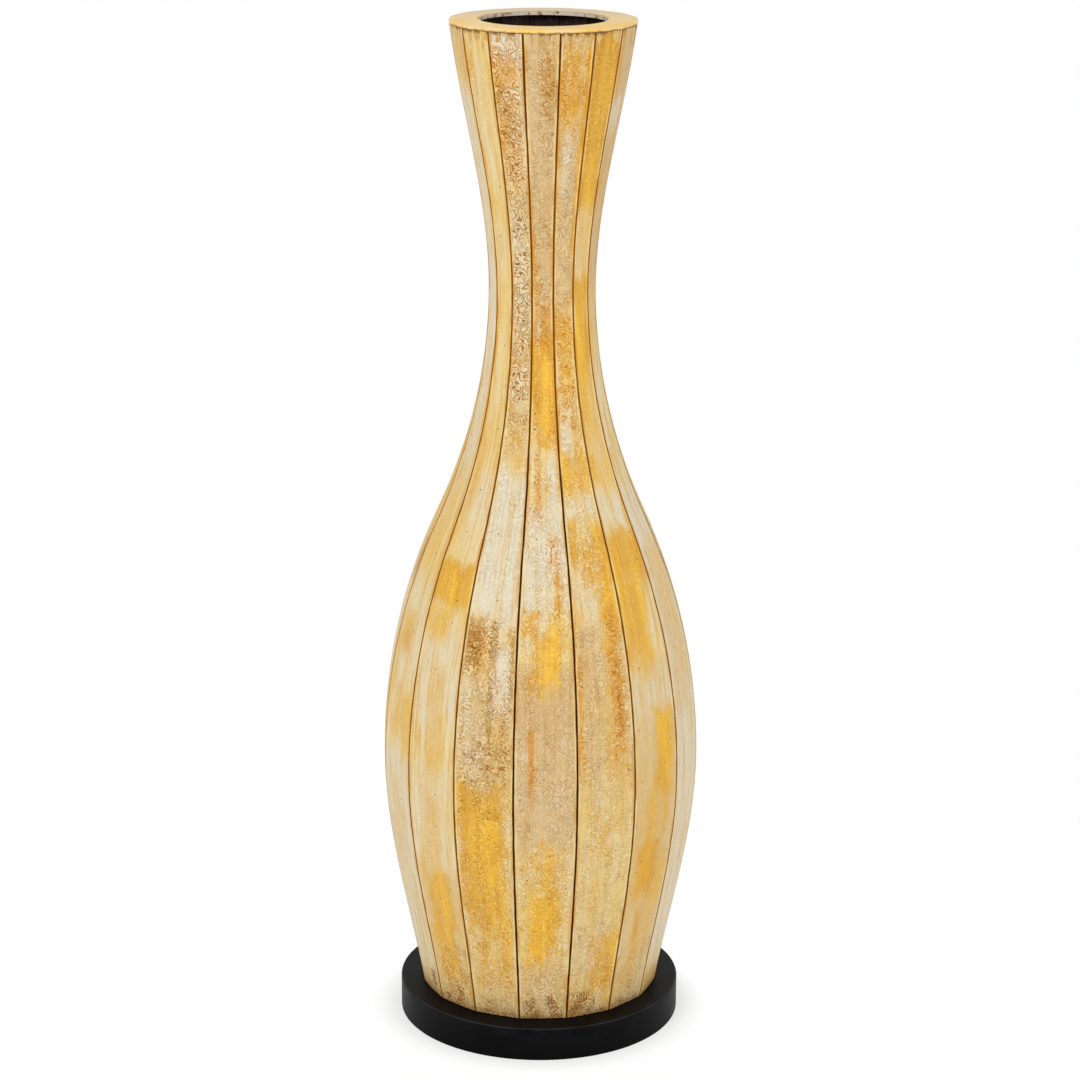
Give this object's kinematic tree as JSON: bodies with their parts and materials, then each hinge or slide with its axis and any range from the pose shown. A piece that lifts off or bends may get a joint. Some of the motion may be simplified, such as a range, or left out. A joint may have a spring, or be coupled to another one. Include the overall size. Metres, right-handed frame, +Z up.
{
  "type": "stave-built floor vase",
  "caption": "Tall bottle-shaped floor vase of curved lacquered wooden staves with a flat mouth ring, on a round black plinth. Holds tall stems.",
  "frame": {"origin": "centre of the plinth's underside, on the surface that the vase stands on", "axes": "+Z up through the mouth, -Y the front, through the middle of stave_01"},
  "size_m": [0.2844, 0.2844, 0.915],
  "materials": {
    "stave_lacquer": "distressed lacquer over carved wood: cream and lilac-grey, rubbed through with gold, orange and brown, satin",
    "rim_lacquer": "smooth warm cream-gold lacquer, worn brown along the inner edge",
    "plinth_black": "satin black paint with a faint mottled sheen",
    "plug_board": "dark brown stain",
    "screw_steel": "zinc plated"
  },
  "bodies": {
    "root": {"plinth": "plinth_black", "floor_plug": "plug_board", "stave_01": "stave_lacquer", "stave_02": "stave_lacquer", "stave_03": "stave_lacquer", "stave_04": "stave_lacquer", "stave_05": "stave_lacquer", "stave_06": "stave_lacquer", "stave_07": "stave_lacquer", "stave_08": "stave_lacquer", "stave_09": "stave_lacquer", "stave_10": "stave_lacquer", "stave_11": "stave_lacquer", "stave_12": "stave_lacquer", "stave_13": "stave_lacquer", "stave_14": "stave_lacquer", "stave_15": "stave_lacquer", "stave_16": "stave_lacquer", "rim_ring": "rim_lacquer", "plinth_screw_1": "screw_steel", "plinth_screw_2": "screw_steel", "plinth_screw_3": "screw_steel", "plinth_screw_4": "screw_steel"}
  },
  "joints": []
}
